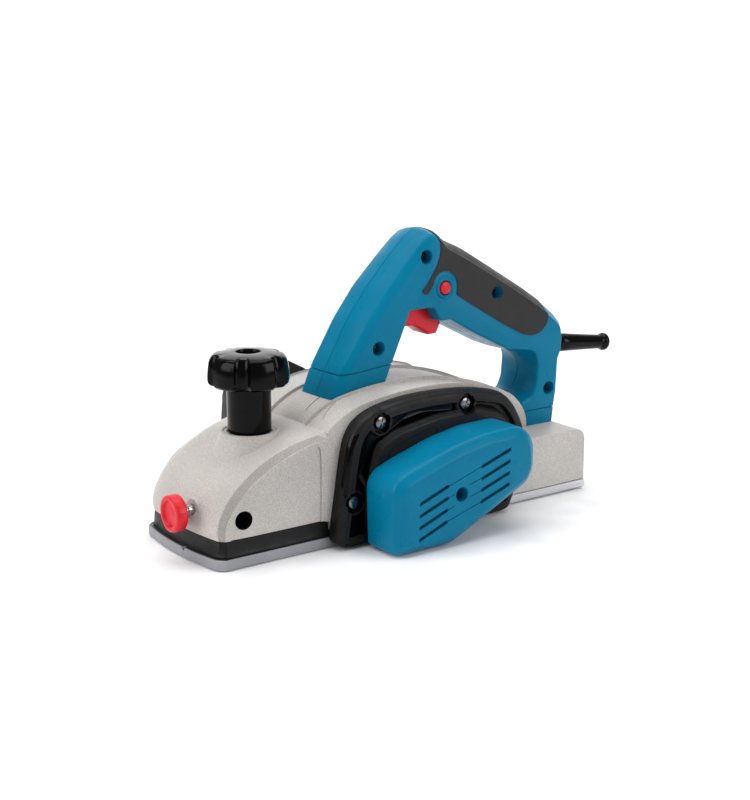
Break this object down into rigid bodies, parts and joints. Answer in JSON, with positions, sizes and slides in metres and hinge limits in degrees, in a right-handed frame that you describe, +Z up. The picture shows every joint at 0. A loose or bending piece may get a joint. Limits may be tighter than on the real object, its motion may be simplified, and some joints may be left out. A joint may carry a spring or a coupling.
{
  "type": "electric hand planer",
  "caption": "Electric hand planer: belt-driven cutter drum under a cast body, depth knob that lifts the front shoe, closed rear handle with trigger and lock button.",
  "frame": {"origin": "on the flat face of the rear sole, in the middle of its width, 77.4 mm ahead of its rear end and 69.6 mm behind its front lip", "axes": "-X points forward, to the depth knob; -Y is the belt side; +Z is up. The planer stands on the plane z = 0."},
  "size_m": [0.3617, 0.168, 0.1814],
  "materials": {
    "cast_housing": "warm light grey, fine speckle, satin",
    "machined_sole": "machined flat, fine lengthwise lines",
    "black_cover": "fine-grained black",
    "blue_shell": "satin teal blue",
    "grip": "charcoal, soft matte",
    "red_plastic": "satin red",
    "gloss_black": "glossy black",
    "chute_grey": "dark grey",
    "steel": "bright steel",
    "dark_steel": "darkened steel",
    "blade_steel": "ground",
    "drum_alloy": "machined",
    "belt_rubber": "black, ribbed",
    "black_nylon": "black",
    "film": "amber film",
    "laminations": "lacquered steel laminations",
    "copper_wire": "enamelled copper wire",
    "copper": "turned copper",
    "brass": "pressed brass",
    "carbon": "carbon"
  },
  "bodies": {
    "body": {"body_casting": "cast_housing", "rear_sole": "machined_sole", "rear_sole_screws": "dark_steel", "side_cover": "black_cover", "side_cover_screws": "dark_steel", "belt_cover": "blue_shell", "belt_cover_screw": "dark_steel", "chip_chute": "chute_grey", "chip_chute_screws": "dark_steel", "handle_left": "blue_shell", "handle_right": "blue_shell", "grip_left": "grip", "grip_right": "grip", "handle_screws": "dark_steel", "trigger_pin": "steel", "switch_body": "black_nylon", "capacitor": "film", "cord_guard": "gloss_black", "cord_clamp": "black_nylon", "cord_clamp_screws": "dark_steel", "drum_bearings": "steel", "drive_belt": "belt_rubber", "armature_bearings": "steel", "stator_core": "laminations", "field_coils": "copper_wire", "brush_holders": "brass", "carbon_brushes": "carbon", "depth_spring": "steel"},
    "front_shoe": {"front_shoe": "machined_sole", "front_shoe_skirt": "black_nylon"},
    "depth_knob": {"depth_knob": "gloss_black", "depth_spindle": "steel", "depth_retaining_ring": "dark_steel"},
    "cutter": {"cutter_drum": "drum_alloy", "blades": "blade_steel", "blade_clamps": "dark_steel", "blade_screws": "dark_steel", "drum_pulley": "steel", "drum_pulley_nut": "dark_steel"},
    "armature": {"armature_shaft": "steel", "armature_core": "copper_wire", "commutator": "copper", "cooling_fan": "black_nylon", "motor_pulley": "steel"},
    "trigger": {"trigger": "red_plastic"},
    "lock_button": {"lock_button": "red_plastic"},
    "guide_washer": {"guide_screw_washer": "steel", "guide_screw_spring": "dark_steel"},
    "guide_screw": {"guide_thumb_knob": "red_plastic", "guide_screw_stud": "steel"}
  },
  "joints": [
    {"name": "depth_knob_turn", "type": "hinge", "parent": "body", "child": "depth_knob", "pos_m": [-0.1595, 0, 0.09], "axis": [0, 0, 1], "range_deg": [0, 320]},
    {"name": "front_shoe_slide", "type": "slide", "parent": "body", "child": "front_shoe", "axis": [0, 0, 1], "range_m": [0, 0.002], "deforming": ["depth_spring"]},
    {"name": "cutter_spin", "type": "hinge", "parent": "body", "child": "cutter", "pos_m": [-0.088, 0, 0.0235], "axis": [0, 1, 0], "continuous": true},
    {"name": "armature_spin", "type": "hinge", "parent": "body", "child": "armature", "pos_m": [-0.0276, 0, 0.046], "axis": [0, 1, 0], "continuous": true},
    {"name": "trigger_pull", "type": "hinge", "parent": "body", "child": "trigger", "pos_m": [-0.046, 0, 0.137], "axis": [0, -1, 0], "range_deg": [0, 8], "stiffness_Nm_per_rad": 0.6, "springref_deg": -8.59},
    {"name": "lock_button_press", "type": "slide", "parent": "body", "child": "lock_button", "axis": [0, 1, 0], "range_m": [0, 0.003], "stiffness_N_per_m": 400, "springref_m": -0.002},
    {"name": "guide_screw_travel", "type": "slide", "parent": "body", "child": "guide_washer", "axis": [1, 0, 0], "range_m": [-0.002, 0.001], "deforming": ["guide_screw_spring"]},
    {"name": "guide_screw_turn", "type": "hinge", "parent": "guide_washer", "child": "guide_screw", "pos_m": [-0.22, -0.0145, 0.0305], "axis": [1, 0, 0], "range_deg": [-720, 360]}
  ],
  "couplings": [
    {"joint": "depth_knob_turn", "follows": "front_shoe_slide", "rad_per_m": 2790},
    {"joint": "armature_spin", "follows": "cutter_spin", "ratio": 1.5238},
    {"joint": "guide_screw_turn", "follows": "guide_screw_travel", "rad_per_m": 6283.1}
  ]
}
